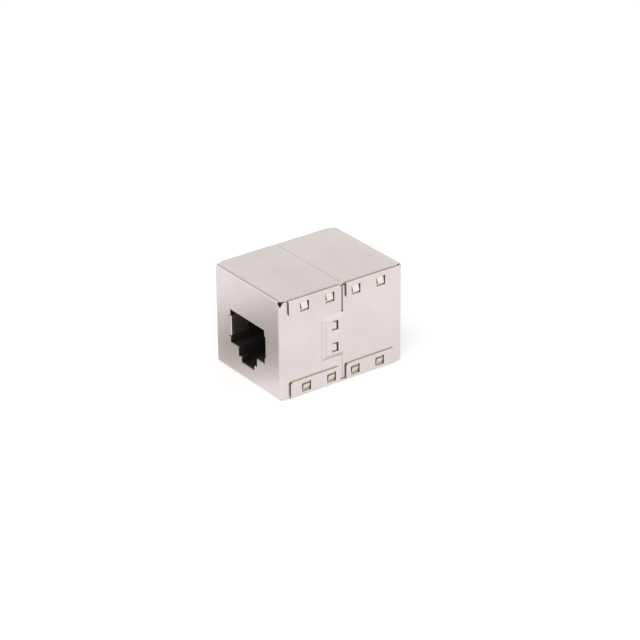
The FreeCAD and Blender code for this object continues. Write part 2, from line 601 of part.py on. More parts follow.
def build_housing(doc, half, turn):
    """The moulded jack: a plug cavity with its latch room and a bay for the contact carrier."""
    body = make_body(doc, half_name("housing", half), turn)
    sketch = sketch_on(body, "block_outline", "XY_Plane", HOUSING_FOOT)
    bevel = "dims.side_bend_radius"
    add_path(
        sketch,
        [
            (f"{HOUSING_FRONT} + {bevel}", f"-{HOUSING_SIDE}"),
            (HOUSING_REAR, f"-{HOUSING_SIDE}"),
            (HOUSING_REAR, HOUSING_SIDE),
            (f"{HOUSING_FRONT} + {bevel}", HOUSING_SIDE),
            (HOUSING_FRONT, f"{HOUSING_SIDE} - {bevel}"),
            (HOUSING_FRONT, f"-{HOUSING_SIDE} + {bevel}"),
        ],
        True,
    )
    block = pad(body, "block", sketch, f"{HOUSING_TOP} - {HOUSING_FOOT}")

    # The end plate's bends to the top and bottom plates need room at the front edges
    def front_rim(edge):
        from_front = abs(edge.CenterOfMass.x - number(block, HOUSING_FRONT))
        return runs_along(edge, Vector(0, 1, 0)) and from_front < 1e-4

    break_edges(body, "Chamfer", "front_bevel", block, "dims.plate_bend_radius", front_rim)

    sketch = sketch_on(body, "mouth_outline", "YZ_Plane", HOUSING_FRONT)
    port_outline(sketch, "dims.housing_inset")
    pocket(body, "mouth", sketch, "dims.housing_front_wall", forwards=True)
    sketch = sketch_on(body, "cavity_outline", "YZ_Plane", FRONT_WALL)
    add_rectangle(sketch, f"-{CAVITY_HALF}", CAVITY_HALF, CAVITY_FLOOR, CEILING)
    pocket(body, "cavity", sketch, f"{CAVITY_BACK} - {FRONT_WALL}", forwards=True)
    sketch = sketch_on(body, "latch_room_outline", "YZ_Plane", FRONT_WALL)
    half_room = "dims.latch_step_width / 2"
    add_rectangle(sketch, f"-{half_room}", half_room, f"{SLOT_FLOOR} + dims.housing_inset", CAVITY_FLOOR)
    pocket(body, "latch_room", sketch, "dims.latch_room", forwards=True)

    # Recesses that clear the ground fingers and let them give way
    low, high = finger_band()
    sketch = sketch_on(body, "finger_recess_outline", "YZ_Plane", HOUSING_FRONT)
    reach = "(dims.port_width / 2 + dims.sheet + dims.finger_room)"
    relief = "dims.finger_relief"
    add_rectangle(sketch, f"-{reach}", reach, f"{low} - {relief}", f"{high} + {relief}")
    pocket(body, "finger_recess", sketch, "dims.finger_reach", forwards=True)

    # Slots in the ceiling for the contacts, then the bay over it and the seat of the board
    sketch = sketch_on(body, "contact_slot_outline", "XY_Plane", CEILING_TOP)
    first = contact_place(0)
    add_rectangle(
        sketch,
        FRONT_WALL,
        f"{HAIRPIN_X} + dims.contact_leg",
        f"{first} - dims.contact_slot / 2",
        f"{first} + dims.contact_slot / 2",
    )
    slot = pocket(body, "contact_slot", sketch, "dims.ceiling")
    repeat(body, "contact_slots", slot, "Y_Axis", f"{CONTACTS - 1} * dims.contact_pitch", CONTACTS)
    sketch = sketch_on(body, "bay_outline", "YZ_Plane", FRONT_WALL)
    add_rectangle(sketch, f"-{BAY_HALF}", BAY_HALF, CEILING_TOP, BAY_TOP)
    pocket(body, "bay", sketch, f"{HOUSING_REAR} - {FRONT_WALL}", forwards=True)
    add_board_seat(body)
    add_cores(body)
    add_peg(body)
    return body


def add_board_seat(body):
    """The recess that holds the board and the room behind it for the tails."""
    for name, front, margin in (
        ("seat", f"{BOARD_FACE} - dims.fit_gap", "(dims.board_margin - dims.fit_gap)"),
        ("tail_room", TAIL_ROOM, "(dims.board_margin + dims.board_ledge)"),
    ):
        sketch = sketch_on(body, f"{name}_outline", "YZ_Plane", front)
        add_rectangle(
            sketch,
            f"-{INSIDE} + {margin}",
            f"{INSIDE} - {margin}",
            f"dims.sheet + {margin}",
            f"{TOP} - dims.sheet - {margin}",
        )
        pocket(body, name, sketch, f"{HOUSING_REAR} - ({front})", forwards=True)


def add_peg(body):
    """The locating peg through the board, on the web beside the latch room."""
    sketch = sketch_on(body, "peg_outline", "YZ_Plane", TAIL_ROOM)
    add_circle(sketch, PEG_SIDE, PEG_HEIGHT, "dims.peg_diameter / 2")
    pad(body, "peg", sketch, f"dims.board_thickness / 2 - {TAIL_ROOM}")


def add_cores(body):
    """Pockets that keep the walls beside the cavity even, open towards the board."""
    wall, rib = "dims.housing_wall", "dims.core_rib"
    finger_side = "(dims.port_width / 2 + dims.sheet + dims.finger_room)"
    room_side = "(dims.latch_step_width / 2)"
    far = f"-{HOUSING_SIDE} + {wall}"
    near = f"{HOUSING_SIDE} - {wall}"
    inner = f"{finger_side} + {wall}"
    foot, head = f"{HOUSING_FOOT} + {wall}", f"{HOUSING_TOP} - {wall}"
    shelf = f"dims.port_floor - {wall}"
    sketch = sketch_on(body, "core_outlines", "YZ_Plane", f"{FRONT_WALL} + {rib}")
    for left, right in ((far, f"-({inner})"), (inner, near)):
        add_rectangle(sketch, left, right, f"{CAVITY_MIDDLE} + {rib} / 2", head)
        add_rectangle(sketch, left, right, f"{shelf} + {rib}", f"{CAVITY_MIDDLE} - {rib} / 2")
    web = "dims.peg_web / 2"
    beside_web = [(f"{room_side} + {wall}", f"{PEG_SIDE} - {web}"), (f"{PEG_SIDE} + {web}", near)]
    for left, right in [(far, f"-{room_side} - {wall}")] + beside_web:
        add_rectangle(sketch, left, right, foot, shelf)
    pocket(body, "cores", sketch, f"{HOUSING_REAR} - {FRONT_WALL}", forwards=True)


def contact_place(index):
    """Where a contact stands across the coupler, in its own half's frame."""
    return f"({index - (CONTACTS - 1) / 2} * dims.contact_pitch)"


def add_circle(sketch, across, up, radius):
    """A circle about a place given by two expressions."""
    centre = Vector(number(sketch, across), number(sketch, up), 0)
    index = sketch.addGeometry(Part.Circle(centre, Vector(0, 0, 1), number(sketch, radius)), False)
    pin_point(sketch, index, 3, across, up)
    bind(sketch, Sketcher.Constraint("Radius", index, number(sketch, radius)), radius)


def add_wire(sketch, upper, half):
    """The side view of a contact wire, with half its thickness to each side of its middle line.

    The tail runs from the board to the hairpin and the free leg slopes back into the plug's way.
    A wire of the upper row jogs down to the level of the lower row on its way to the hairpin."""
    tail = "(dims.board_thickness / 2 + dims.contact_tail)"
    jog = "dims.contact_jog_bend"
    outside, inside = f"(dims.contact_bend + {half})", f"(dims.contact_bend - {half})"
    centre_z = f"({LOWER_ROW} - dims.contact_bend)"
    across, down = "sin(dims.contact_slope)", "cos(dims.contact_slope)"
    leg_x, leg_z = f"dims.contact_leg * {down}", f"dims.contact_leg * {across}"

    def on_hairpin(radius):
        return f"({HAIRPIN_X} - {radius} * {across})", f"({centre_z} - {radius} * {down})"

    (outer_x, outer_z), (inner_x, inner_z) = on_hairpin(outside), on_hairpin(inside)
    above = [(tail, f"{LOWER_ROW} + {half}")]
    below = [(tail, f"{LOWER_ROW} - {half}")]
    if upper:
        small, large = f"({jog} - {half})", f"({jog} + {half})"
        above = [
            (tail, f"{UPPER_ROW} + {half}"),
            (f"{JOG_X} + {jog}", f"{UPPER_ROW} + {half}", large, 1),
            (f"{JOG_X} - {half}", f"{UPPER_ROW} - {jog}"),
            (f"{JOG_X} - {half}", f"{LOWER_ROW} + {jog}", small, -1),
            (f"{JOG_X} - {jog}", f"{LOWER_ROW} + {half}"),
        ]
        below = [
            (f"{JOG_X} - {jog}", f"{LOWER_ROW} - {half}", large, 1),
            (f"{JOG_X} + {half}", f"{LOWER_ROW} + {jog}"),
            (f"{JOG_X} + {half}", f"{UPPER_ROW} - {jog}", small, -1),
            (f"{JOG_X} + {jog}", f"{UPPER_ROW} - {half}"),
            (tail, f"{UPPER_ROW} - {half}"),
        ]
    spring = [
        (HAIRPIN_X, f"{LOWER_ROW} + {half}", outside, 1),
        (outer_x, outer_z),
        (f"{outer_x} + {leg_x}", f"{outer_z} - {leg_z}"),
        (f"{inner_x} + {leg_x}", f"{inner_z} - {leg_z}"),
        (inner_x, inner_z, inside, -1),
        (HAIRPIN_X, f"{LOWER_ROW} - {half}"),
    ]
    add_path(sketch, above + spring + below, True)


def build_contact(doc, half, turn, index):
    """One spring contact, bent from wire of a rectangular section."""
    body = make_body(doc, f"{half_name('contact', half)}_{index + 1}", turn)
    sketch = sketch_on(body, "side_view", "XZ_Plane", f"-{contact_place(index)}")
    add_wire(sketch, index % 2 == 1, "dims.contact_thickness / 2")
    pad(body, "wire", sketch, "dims.contact_width", symmetric=True)
    return body


def channel_outline(upper):
    """The side view of the channel that a wire takes through the carrier, with straight sides."""
    half = "(dims.contact_thickness / 2 + dims.channel_clearance)"
    jog = "dims.contact_jog_bend"
    if not upper:
        row = [(HAIRPIN_X, "-"), (BOARD_FACE, "-"), (BOARD_FACE, "+"), (HAIRPIN_X, "+")]
        return [(place, f"{LOWER_ROW} {side} {half}") for place, side in row]
    return [
        (HAIRPIN_X, f"{LOWER_ROW} - {half}"),
        (f"{JOG_X} + {half}", f"{LOWER_ROW} - {half}"),
        (f"{JOG_X} + {half}", f"{UPPER_ROW} - {jog}"),
        (f"{JOG_X} + {jog}", f"{UPPER_ROW} - {half}"),
        (BOARD_FACE, f"{UPPER_ROW} - {half}"),
        (BOARD_FACE, f"{UPPER_ROW} + {half}"),
        (f"{JOG_X} - {half}", f"{UPPER_ROW} + {half}"),
        (f"{JOG_X} - {half}", f"{LOWER_ROW} + {jog}"),
        (f"{JOG_X} - {jog}", f"{LOWER_ROW} + {half}"),
        (HAIRPIN_X, f"{LOWER_ROW} + {half}"),
    ]


def build_carrier(doc, half, turn):
    """The carrier that holds the contacts: a deck for the wires and a block round their jogs."""
    body = make_body(doc, half_name("carrier", half), turn)
    sketch = sketch_on(body, "carrier_section", "XZ_Plane")
    step = f"{CARRIER_REAR} - dims.carrier_block_length"
    deck = f"{CARRIER_FLOOR} + dims.carrier_deck"
    add_path(
        sketch,
        [
            (CARRIER_FRONT, CARRIER_FLOOR),
            (CARRIER_REAR, CARRIER_FLOOR),
            (CARRIER_REAR, CARRIER_TOP),
            (step, CARRIER_TOP),
            (step, deck),
            (CARRIER_FRONT, deck),
        ],
        True,
    )
    pad(body, "carrier_block", sketch, "2 * dims.carrier_half_width", symmetric=True)
    for index, name in ((0, "lower"), (1, "upper")):
        sketch = sketch_on(body, f"{name}_channel_path", "XZ_Plane", f"-{contact_place(index)}")
        add_path(sketch, channel_outline(index == 1), True)
        width = "dims.contact_width + 2 * dims.channel_clearance"
        channel = pocket(body, f"{name}_channel", sketch, width, symmetric=True)
        spread = f"{CONTACTS - 2} * dims.contact_pitch"
        repeat(body, f"{name}_channels", channel, "Y_Axis", spread, CONTACTS // 2)
    return body


def build_board(doc):
    """The circuit board that joins the contacts of the two halves, with its plated holes."""
    body = make_body(doc, "circuit_board")
    sketch = sketch_on(body, "board_outline", "YZ_Plane")
    add_rectangle(
        sketch,
        f"-{INSIDE} + dims.board_margin",
        f"{INSIDE} - dims.board_margin",
        "dims.sheet + dims.board_margin",
        f"{TOP} - dims.sheet - dims.board_margin",
    )
    pad(body, "board", sketch, "dims.board_thickness", symmetric=True)
    sketch = sketch_on(body, "hole_centres", "YZ_Plane")
    for sign in ("", "-"):
        for index in range(CONTACTS):
            row = UPPER_ROW if index % 2 else LOWER_ROW
            add_circle(sketch, f"{sign}{contact_place(index)}", row, "dims.board_hole / 2")
        add_circle(sketch, f"{sign}{PEG_SIDE}", PEG_HEIGHT, "dims.peg_diameter / 2 + dims.fit_gap")
    pocket(body, "holes", sketch, symmetric=True)
    return body


def build(doc):
    """Every piece of the coupler."""
    pieces = []
    for half, turn in HALVES.items():
        pieces.append(build_shell(doc, half, turn))
        pieces.append(build_housing(doc, half, turn))
        pieces.append(build_carrier(doc, half, turn))
        pieces += [build_contact(doc, half, turn, index) for index in range(CONTACTS)]
    pieces.append(build_board(doc))
    return pieces


def write_parts(doc, pieces):
    """Checks every object and shape, then writes one file for each piece."""
    for item in doc.Objects:
        if "Invalid" in item.State or "Error" in item.State:
            raise RuntimeError(f"{item.Label} failed: {item.getStatusString()}")
    for piece in pieces:
        if piece.Shape.isNull() or not piece.Shape.isValid():
            raise RuntimeError(f"{piece.Label} has no sound shape")
        piece.Shape.exportStep(f"parts/{piece.Label}.step")


os.makedirs("parts", exist_ok=True)
document = FreeCAD.newDocument("inline_coupler")
make_sheet(document)
parts = build(document)
document.recompute()
write_parts(document, parts)
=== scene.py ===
"""Looks of the shielded in-line coupler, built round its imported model.

Lengths are in metres and angles in degrees. The coupler lies along X with its middle at nought, port A
looks along -X, and the table is at a height of nought.
"""

import logging
import math
from dataclasses import dataclass, field
from enum import Enum
from typing import Any, Optional, Sequence, Union

import bmesh
import bpy
from mathutils import Matrix, Vector


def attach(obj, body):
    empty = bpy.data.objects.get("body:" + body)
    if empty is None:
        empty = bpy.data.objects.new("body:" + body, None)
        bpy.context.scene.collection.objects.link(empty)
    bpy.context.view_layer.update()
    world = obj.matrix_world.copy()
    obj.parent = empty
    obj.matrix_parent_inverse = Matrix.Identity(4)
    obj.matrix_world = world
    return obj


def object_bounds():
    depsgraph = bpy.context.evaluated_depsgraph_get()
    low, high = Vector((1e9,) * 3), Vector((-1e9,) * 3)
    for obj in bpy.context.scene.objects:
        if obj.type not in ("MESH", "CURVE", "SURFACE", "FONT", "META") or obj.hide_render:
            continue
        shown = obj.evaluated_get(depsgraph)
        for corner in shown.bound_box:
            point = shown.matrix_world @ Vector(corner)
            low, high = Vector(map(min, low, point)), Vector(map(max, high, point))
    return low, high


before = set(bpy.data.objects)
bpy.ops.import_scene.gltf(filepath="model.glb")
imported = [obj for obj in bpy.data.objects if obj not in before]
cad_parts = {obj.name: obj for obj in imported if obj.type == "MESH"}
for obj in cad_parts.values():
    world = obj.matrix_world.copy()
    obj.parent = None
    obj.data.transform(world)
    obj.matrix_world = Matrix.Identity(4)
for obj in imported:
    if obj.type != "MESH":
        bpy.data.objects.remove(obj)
CAD_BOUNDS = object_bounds()

Colour = tuple[float, float, float]
Span = tuple[float, float]
Triple = tuple[float, float, float]
WHITE: Colour = (1.0, 1.0, 1.0)
log = logging.getLogger("coupler")


class Half(Enum):
    """The two halves of the coupler, which are the same part turned end for end."""

    A = "a"
    B = "b"


class Axis(Enum):
    """The axes of a node's own frame, by their place in a vector."""

    ALONG = 0
    ACROSS = 1
    UP = 2


class Ray(Enum):
    """The kinds of ray that the studio tells apart, by their outputs on the Light Path node."""

    CAMERA = "Is Camera Ray"
    MIRRORED = "Is Glossy Ray"


@dataclass(frozen=True)
class Mottle:
    """A cloudy noise: its clouds to the metre, its finer layers and how strong they are."""

    scale: float
    detail: float = 2.0
    roughness: float = 0.5
    stretch: Optional[Triple] = None


@dataclass(frozen=True)
class Relief:
    """How strongly a height shows as bumps and how deep they are."""

    strength: float
    depth: float


Value = Union["Signal", float]


class Signal:
    """A node's output, with Python's operators standing for Math nodes."""

    def __init__(self, graph: "Graph", socket: bpy.types.NodeSocket) -> None:
        """Wraps a socket.

        Args:
            graph: The node tree that the socket is in.
            socket: The output that the expression goes on from.
        """
        self.graph = graph
        self.socket = socket

    def maths(self, operation: str, *others: Value, flipped: bool = False) -> "Signal":
        """Adds a Math node.

        Args:
            operation: The Math node's operation.
            others: The second and third operands.
            flipped: Whether this value is the second operand.

        Returns:
            The node's result.
        """
        operands = [self, *others]
        if flipped:
            operands.reverse()
        return self.graph.out("ShaderNodeMath", {"operation": operation}, dict(enumerate(operands)))

    def __add__(self, other: Value) -> "Signal":
        """This value plus another."""
        return self.maths("ADD", other)

    __radd__ = __add__

    def __sub__(self, other: Value) -> "Signal":
        """This value less another."""
        return self.maths("SUBTRACT", other)

    def __rsub__(self, other: Value) -> "Signal":
        """Another value less this one."""
        return self.maths("SUBTRACT", other, flipped=True)

    def __mul__(self, other: Value) -> "Signal":
        """This value times another."""
        return self.maths("MULTIPLY", other)

    __rmul__ = __mul__

    def __gt__(self, other: Value) -> "Signal":
        """One where this value is the greater, or else nought."""
        return self.maths("GREATER_THAN", other)

    def __lt__(self, other: Value) -> "Signal":
        """One where this value is the less, or else nought."""
        return self.maths("LESS_THAN", other)

    def __abs__(self) -> "Signal":
        """The size of this value without its sign."""
        return self.maths("ABSOLUTE")

    def lesser(self, other: Value) -> "Signal":
        """The lesser of this value and another."""
        return self.maths("MINIMUM", other)

    def either(self, other: Value) -> "Signal":
        """The greater of this value and another, which is one where either of two marks is."""
        return self.maths("MAXIMUM", other)

    def between(self, span: Span) -> "Signal":
        """A straight climb from nought at the span's start to one at its end, level outside it.

        Args:
            span: The values that give nought and one.

        Returns:
            The climb.
        """
        low, high = span
        inputs = {"Value": self, "From Min": low, "From Max": high}
        return self.graph.out("ShaderNodeMapRange", {"clamp": True}, inputs)


class Graph:
    """The node tree of one material or of the world."""

    def __init__(self, owner: Union[bpy.types.Material, bpy.types.World]) -> None:
        """Turns on and clears an owner's nodes.

        Args:
            owner: The material or world to build in.
        """
        owner.use_nodes = True
        self.tree = owner.node_tree
        self.tree.nodes.clear()

    def node(self, kind: str, settings: dict[str, Any], inputs: dict[Any, Any]) -> bpy.types.Node:
        """Adds a node of any kind.

        Args:
            kind: The node's type.
            settings: Its properties, set before its sockets; a ramp's stops go under "stops".
            inputs: Values or signals for its sockets, by name or number.

        Returns:
            The node.
        """
        node = self.tree.nodes.new(kind)
        stops = settings.get("stops")
        for name, value in settings.items():
            if name != "stops":
                setattr(node, name, value)
        if stops:
            ramp = node.color_ramp
            while len(ramp.elements) < len(stops):
                ramp.elements.new(1.0)
            for element, (place, colour) in zip(ramp.elements, stops):
                element.position = place
                element.color = with_alpha(colour)
        for name, value in inputs.items():
            socket = node.inputs[name]
            if isinstance(value, Signal):
                self.tree.links.new(value.socket, socket)
            else:
                socket.default_value = value
        return node

    def out(self, kind: str, settings: dict[str, Any], inputs: dict[Any, Any], name: Any = 0) -> Signal:
        """Adds a node and gives one of its outputs.

        Args:
            kind: The node's type.
            settings: Its properties.
            inputs: Values or signals for its sockets.
            name: The output's name or number.

        Returns:
            The output.
        """
        return Signal(self, self.node(kind, settings, inputs).outputs[name])

    def blend(self, amount: Value, first: Any, second: Any) -> Signal:
        """Mixes two colours.

        Args:
            amount: How much of the second shows, from 0 to 1.
            first: The first colour, as a value of three or a signal.
            second: The second colour.

        Returns:
            The mixed colour.
        """
        # The node has sockets of the same name for numbers and colours, so numbers tell them apart.
        inputs = {0: amount, 6: with_alpha(first), 7: with_alpha(second)}
        return self.out("ShaderNodeMix", {"data_type": "RGBA"}, inputs, 2)

    def mixed(self, amount: Value, first: Signal, second: Signal) -> Signal:
        """Mixes two shaders.

        Args:
            amount: How much of the second shows, from 0 to 1.
            first: The first shader.
            second: The second shader.

        Returns:
            The mixed shader.
        """
        return self.out("ShaderNodeMixShader", {}, {0: amount, 1: first, 2: second})

    def place(self) -> Signal:
        """The point on the object, in its own frame."""
        return self.out("ShaderNodeTexCoord", {}, {}, "Object")

    def facing(self) -> Signal:
        """The way that the surface faces, in the object's own frame."""
        return self.out("ShaderNodeTexCoord", {}, {}, "Normal")

    def ray(self, kind: Ray) -> Signal:
        """One for rays of a kind and nought for others."""
        return self.out("ShaderNodeLightPath", {}, {}, kind.value)

    def part(self, vector: Signal, axis: Axis) -> Signal:
        """One component of a vector."""
        return self.out("ShaderNodeSeparateXYZ", {}, {0: vector}, axis.value)

    def scaled(self, vector: Signal, scale: Triple) -> Signal:
        """A vector stretched along its axes."""
        return self.out("ShaderNodeVectorMath", {"operation": "MULTIPLY"}, {0: vector, 1: scale})

    def noise(self, vector: Signal, mottle: Mottle) -> Signal:
        """Cloudy noise about a middle of a half.

        Args:
            vector: Where it is read.
            mottle: Its size and layers.

        Returns:
            The noise, from 0 to 1.
        """
        if mottle.stretch:
            vector = self.scaled(vector, mottle.stretch)
        inputs = {
            "Vector": vector,
            "Scale": mottle.scale,
            "Detail": mottle.detail,
            "Roughness": mottle.roughness,
        }
        return self.out("ShaderNodeTexNoise", {}, inputs)

    def bumps(self, height: Signal, relief: Relief) -> Signal:
        """Turns a height into a surface's small bumps.

        Args:
            height: The height, from 0 to 1.
            relief: How strong and deep the bumps are.

        Returns:
            The bumpy normal.
        """
        inputs = {"Strength": relief.strength, "Distance": relief.depth, "Height": height}
        return self.out("ShaderNodeBump", {}, inputs)


def with_alpha(colour: Any) -> Any:
    """A colour of three as one of four, and a signal as it is."""
    return (*colour, 1.0) if isinstance(colour, tuple) else colour


@dataclass(frozen=True)
class WindowRow:
    """The evenly spaced latch windows along each flap, from the coupler's middle."""

    first: float = 0.003125  # the first window's middle, between those of the top and the bottom flaps
    pitch: float = 0.00625
    tab_half: float = 0.00093  # half the width of a lanced tab, with its side faces

    def distance(self, along: Signal) -> Signal:
        """How far a place is from the nearest window's middle.

        Args:
            along: The distance from the coupler's middle.

        Returns:
            The distance to the window's middle, along the coupler.
        """
        return abs(along.maths("PINGPONG", self.pitch) - self.first)


@dataclass(frozen=True)
class RaisedPad:
    """The pad that takes the other half's tongue."""

    length: float = 0.0051  # from the seam
    middle: float = 0.01085  # above the table
    half_height: float = 0.004825
    border: float = 0.00075  # width of its sloping border

    def inset(self, along: Signal, height: Signal) -> Signal:
        """How far a place is inside the pad's foot.

        Args:
            along: The distance from the seam.
            height: The height above the table.

        Returns:
            The lesser distance to its upright side and its lower side, less than nought outside.
        """
        return (self.length - along).lesser(height - (self.middle - self.half_height))


WINDOWS = WindowRow()
PAD = RaisedPad()


@dataclass(frozen=True)
class Finish:
    """A surface finish and how it becomes a material."""

    name: str
    colour: Colour
    roughness: float

    def material(self) -> bpy.types.Material:
        """Builds the finish's material.

        Returns:
            A new material with its nodes.
        """
        material = bpy.data.materials.new(self.name)
        graph = Graph(material)
        shader = graph.out("ShaderNodeBsdfPrincipled", {}, self.surface(graph))
        graph.node("ShaderNodeOutputMaterial", {}, {"Surface": shader})
        return material

    def surface(self, graph: Graph) -> dict[str, Any]:
        """What goes into the main shader.

        Args:
            graph: The material's graph.

        Returns:
            The shader's inputs by name.
        """
        return {"Base Color": with_alpha(self.colour), "Roughness": self.roughness}


@dataclass(frozen=True)
class PlatedSheet(Finish):
    """Satin nickel plating on pressed sheet, with bare cut edges, and painted shade in its narrow gaps,
    along its pressed lines and on its upright cut edges.
    """

    # The plating: its darker clouds, the grain of rolling and fine specks.
    cloud: Colour = (0.77, 0.705, 0.69)
    clouds: Mottle = Mottle(95.0, 3.0)
    cloud_span: Span = (0.35, 0.75)
    grain: Mottle = Mottle(1.0, 3.0, 0.6, (250.0, 2600.0, 2600.0))
    grain_share: float = 0.6
    specks: Mottle = Mottle(5200.0)
    relief: Relief = Relief(0.12, 0.00002)
    gloss_change: float = 0.08

    # Painted shade in narrow gaps: the colour darkens towards a warm brown there, and the gaps are duller.
    gap_shade: Colour = (0.30, 0.20, 0.10)
    gap_shade_share: float = 0.3
    gap_depth: float = 0.0005  # how near the next surface has to be
    gap_samples: int = 8
    gap_span: Span = (0.25, 0.8)  # from open to closed, by how little light gets in
    gap_roughness: float = 0.2

    # Cut edges, found by how the surface faces, where one is square on, and by places on the shell. Level
    # ones show the bare metal; upright ones are the bare metal darkened almost to black as painted shade.
    upright_cut_and_shade: Colour = (0.15, 0.11, 0.07)
    cut_level: Colour = (0.8, 0.66, 0.46)
    cut_metal: float = 0.35  # how metallic the level edges are
    squareness: float = 0.9  # faces at least this square to the vertical are level
    edge_on: float = 0.35  # faces less square than this to a panel's own way are its edges
    wrap: float = 0.00045  # the plates and the end plate, with the start of their bends
    seam_walls: float = 0.0005  # the edges at the seam, which keep their plating
    side_bend: float = 0.0008  # the upright bends
    port_side: float = 0.0016  # what the end plate's own outer edges take up at each side

    # Painted shade along the pressed lines beside and under the raised pad.
    crease_shade: Colour = (0.68, 0.63, 0.61)
    crease_width: float = 0.00022

    def surface(self, graph: Graph) -> dict[str, Any]:
        """Adds the plating's clouds and grain, painted shade in the gaps and along the pressed lines, and
        the cut edges, whose upright ones get painted shade.

        Args:
            graph: The material's graph.

        Returns:
            The shader's inputs by name.
        """
        place = graph.place()
        clouds = graph.noise(place, self.clouds).between(self.cloud_span)
        grain = graph.noise(place, self.grain)
        specks = graph.noise(place, self.specks)
        gaps = self.gaps(graph)
        cut, level = self.cut_edges(graph, place)
        colour = graph.blend(clouds, self.colour, self.cloud)
        # Painted shade along the pressed lines at the raised pad.
        colour = graph.blend(self.crease_shade_lines(graph, place), colour, self.crease_shade)
        # Painted shade: narrow gaps darken towards a warm brown.
        colour = graph.blend(gaps * self.gap_shade_share, colour, self.gap_shade)
        # Cut edges: level ones take the bare metal's colour, upright ones a near-black painted shade.
        colour = graph.blend(cut, colour, graph.blend(level, self.upright_cut_and_shade, self.cut_level))
        least_rough = self.roughness - self.gloss_change / 2.0
        height = grain * self.grain_share + specks * (1.0 - self.grain_share)
        return {
            "Base Color": colour,
            "Metallic": 1.0 - cut * level * (1.0 - self.cut_metal),
            "Roughness": grain * self.gloss_change + least_rough + gaps * self.gap_roughness,
            "Normal": graph.bumps(height, self.relief),
        }

    def gaps(self, graph: Graph) -> Signal:
        """Finds narrow gaps between folded layers, which get painted shade.

        Args:
            graph: The material's graph.

        Returns:
            One deep in a gap, falling to nought in the open.
        """
        settings = {"samples": self.gap_samples, "only_local": False}
        openness = graph.out("ShaderNodeAmbientOcclusion", settings, {"Distance": self.gap_depth}, "AO")
        return 1.0 - openness.between(self.gap_span)

    def cut_edges(self, graph: Graph, place: Signal) -> tuple[Signal, Signal]:
        """Finds the sheet's cut edges by where they are and which way they face.

        The lanced tabs and the walls of the seam keep their plating, so they are left out.

        Args:
            graph: The material's graph.
            place: The point on the shell.

        Returns:
            One on cut edges, or else nought, and how level they lie.
        """
        low, high = CAD_BOUNDS
        facing = graph.facing()
        turned = {axis: abs(graph.part(facing, axis)) for axis in Axis}
        along = abs(graph.part(place, Axis.ALONG))
        across = abs(graph.part(place, Axis.ACROSS))
        height = graph.part(place, Axis.UP)
        off_plates = (height > low[2] + self.wrap) * (height < high[2] - self.wrap)
        off_seam = off_plates * (along > self.seam_walls)
        on_sides = (turned[Axis.ACROSS] < self.edge_on) * (along < high[0] - self.side_bend)
        on_end = (turned[Axis.ALONG] < self.edge_on) * (along > high[0] - self.wrap)
        by_port = across < high[1] - self.port_side
        beside_tab = WINDOWS.distance(along) > WINDOWS.tab_half
        level = turned[Axis.UP] > self.squareness
        return (on_sides * beside_tab.either(level) + on_end * by_port) * off_seam, level

    def crease_shade_lines(self, graph: Graph, place: Signal) -> Signal:
        """Finds the pressed lines beside and under the raised pad, which get painted shade.

        Args:
            graph: The material's graph.
            place: The point on the shell.

        Returns:
            One along the middle of each line, falling to nought beside it.
        """
        along, across, height = (graph.part(place, axis) for axis in Axis)
        inside = PAD.inset(abs(along), height)
        nearest = abs(inside).lesser(abs(inside - PAD.border))
        line = 1.0 - nearest.between((0.0, self.crease_width))
        on_pad_side = along * across > 0.0
        return line * on_pad_side * (height < PAD.middle + PAD.half_height - PAD.border)


@dataclass(frozen=True)
class MouldedPlastic(Finish):
    """Moulded plastic with the fine grain of its tool."""

    grain: Mottle = Mottle(3600.0, 3.0, 0.6)
    grain_span: Span = (0.4, 0.7)
    paler_by: float = 1.35
    paler_lift: float = 0.004
    relief: Relief = Relief(0.25, 0.00003)
    gloss: Mottle = Mottle(260.0)
    gloss_change: float = 0.16

    def surface(self, graph: Graph) -> dict[str, Any]:
        """Adds the tool's grain and a faint change of gloss.

        Args:
            graph: The material's graph.

        Returns:
            The shader's inputs by name.
        """
        place = graph.place()
        grain = graph.noise(place, self.grain)
        gloss = graph.noise(place, self.gloss)
        paler = tuple(min(1.0, channel * self.paler_by + self.paler_lift) for channel in self.colour)
        return {
            "Base Color": graph.blend(grain.between(self.grain_span), self.colour, paler),
            "Roughness": gloss * self.gloss_change + (self.roughness - self.gloss_change / 2.0),
            "Normal": graph.bumps(grain, self.relief),
        }


@dataclass(frozen=True)
class FoiledPlastic(MouldedPlastic):
    """Moulded plastic with ground foil on its sides, bright behind the shell's lanced openings."""

    foil: Colour = (0.8, 0.76, 0.74)
    foil_depth: float = 0.0011  # how far in from the tabs' free ends the foiled side may lie
    foil_end: float = 0.0018  # how far the foil stops short of the end plate

    def surface(self, graph: Graph) -> dict[str, Any]:
        """Adds the foil to the plastic.

        Args:
            graph: The material's graph.

        Returns:
            The shader's inputs by name.
        """
        inputs = super().surface(graph)
        high = CAD_BOUNDS[1]
        place = graph.place()
        on_side = abs(graph.part(place, Axis.ACROSS)) > high[1] - self.foil_depth
        foiled = on_side * (abs(graph.part(place, Axis.ALONG)) < high[0] - self.foil_end)
        inputs["Base Color"] = graph.blend(foiled, inputs["Base Color"], self.foil)
        inputs["Metallic"] = foiled
        return inputs


